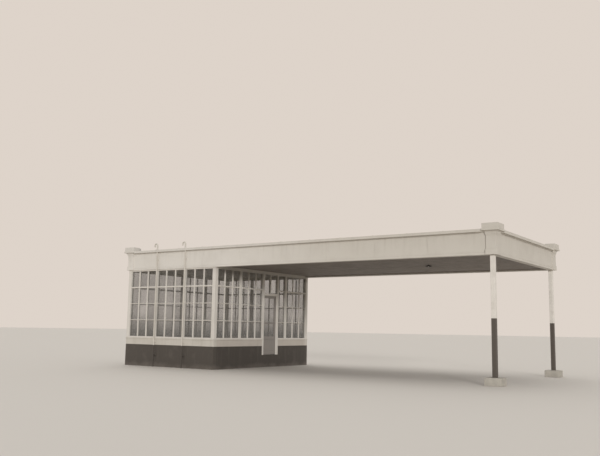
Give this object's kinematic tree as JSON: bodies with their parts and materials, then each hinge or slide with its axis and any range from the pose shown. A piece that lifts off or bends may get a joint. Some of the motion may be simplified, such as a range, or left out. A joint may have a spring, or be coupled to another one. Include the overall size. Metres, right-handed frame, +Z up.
{
  "type": "filling station canopy",
  "caption": "Flat-roofed canopy with a boxed white fascia, a glazed showroom with a hinged door under one end and an open drive-through bay on square posts under the other.",
  "frame": {"origin": "on the ground, in the middle of the roof's plan", "axes": "+X along the front to the open bay, +Y to the rear, +Z up"},
  "size_m": [15.7, 6.57, 4.83],
  "materials": {
    "white_paint": "weathered off-white oil paint on boards",
    "black_paint": "dull black paint, dusty towards the ground",
    "soffit_boards": "dark stained matched boards",
    "post_paint": "off-white paint, black below shoulder height",
    "pipe_paint": "iron pipe, painted off-white, black against the plinth",
    "concrete": "pale trowelled concrete",
    "roofing": "mineral roofing felt",
    "glass": "clear window glass",
    "door_paint": "grey paint",
    "iron": "dark fittings"
  },
  "bodies": {
    "building": {"floor_slab": "concrete", "plinth_front": "black_paint", "plinth_left": "black_paint", "plinth_rear": "black_paint", "plinth_right_front": "black_paint", "plinth_right_rear": "black_paint", "plinth_under_door": "black_paint", "band_front": "white_paint", "band_left": "white_paint", "band_rear": "white_paint", "band_right_front": "white_paint", "band_right_rear": "white_paint", "corner_posts": "white_paint", "window_front": "white_paint", "window_left": "white_paint", "window_rear": "white_paint", "window_right_front": "white_paint", "window_right_rear": "white_paint", "glass_front": "glass", "glass_left": "glass", "glass_rear": "glass", "glass_right": "glass", "door_jambs": "white_paint", "fanlight": "white_paint", "frame_hinges": "iron", "canopy_post_front": "post_paint", "canopy_post_rear": "post_paint", "post_footings": "concrete", "room_beam": "white_paint", "fascia_front": "white_paint", "fascia_right": "white_paint", "fascia_rear": "white_paint", "fascia_left": "white_paint", "cornice": "white_paint", "corner_pilasters": "white_paint", "corner_caps": "white_paint", "soffit": "soffit_boards", "roof_deck": "roofing", "soffit_lamp": "iron", "vent_pipes": "pipe_paint"},
    "door": {"door_leaf": "door_paint", "door_panel": "door_paint", "door_glass": "glass", "door_knobs": "iron", "door_hinges": "iron"}
  },
  "joints": [
    {"name": "door_hinge", "type": "hinge", "parent": "building", "child": "door", "pos_m": [-3.165, 0.8485, 0.485], "axis": [0, 0, -1], "range_deg": [0, 90]}
  ]
}
